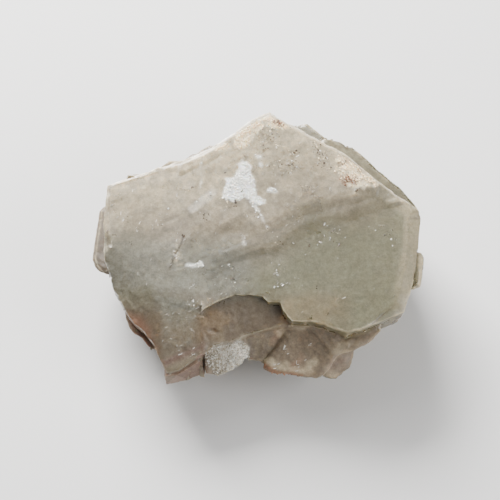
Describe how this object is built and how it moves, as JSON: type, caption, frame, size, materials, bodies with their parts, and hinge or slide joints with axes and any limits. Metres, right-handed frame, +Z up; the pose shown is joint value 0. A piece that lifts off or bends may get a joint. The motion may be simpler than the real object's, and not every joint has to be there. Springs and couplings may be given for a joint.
{
  "type": "apophyllite crystal chunk",
  "caption": "Hand-sized cluster of milky, pale green apophyllite: a broad stepped crystal face over broken front ledges and small blocky crystals, resting on a flat underside.",
  "frame": {"origin": "middle of the bounding box, on the plane that the chunk rests on", "axes": "+Z up out of the rest plane, +X to the right along the broad face, -Y to the front, where the broad face leans down to its broken ledges"},
  "size_m": [0.0673, 0.0621, 0.0306],
  "materials": {
    "milky_apophyllite": "translucent milky crystal, pale green to warm grey, glassy faces with rough broken edges, white crust and small brown specks"
  },
  "bodies": {
    "root": {"apophyllite_chunk": "milky_apophyllite"}
  },
  "joints": []
}
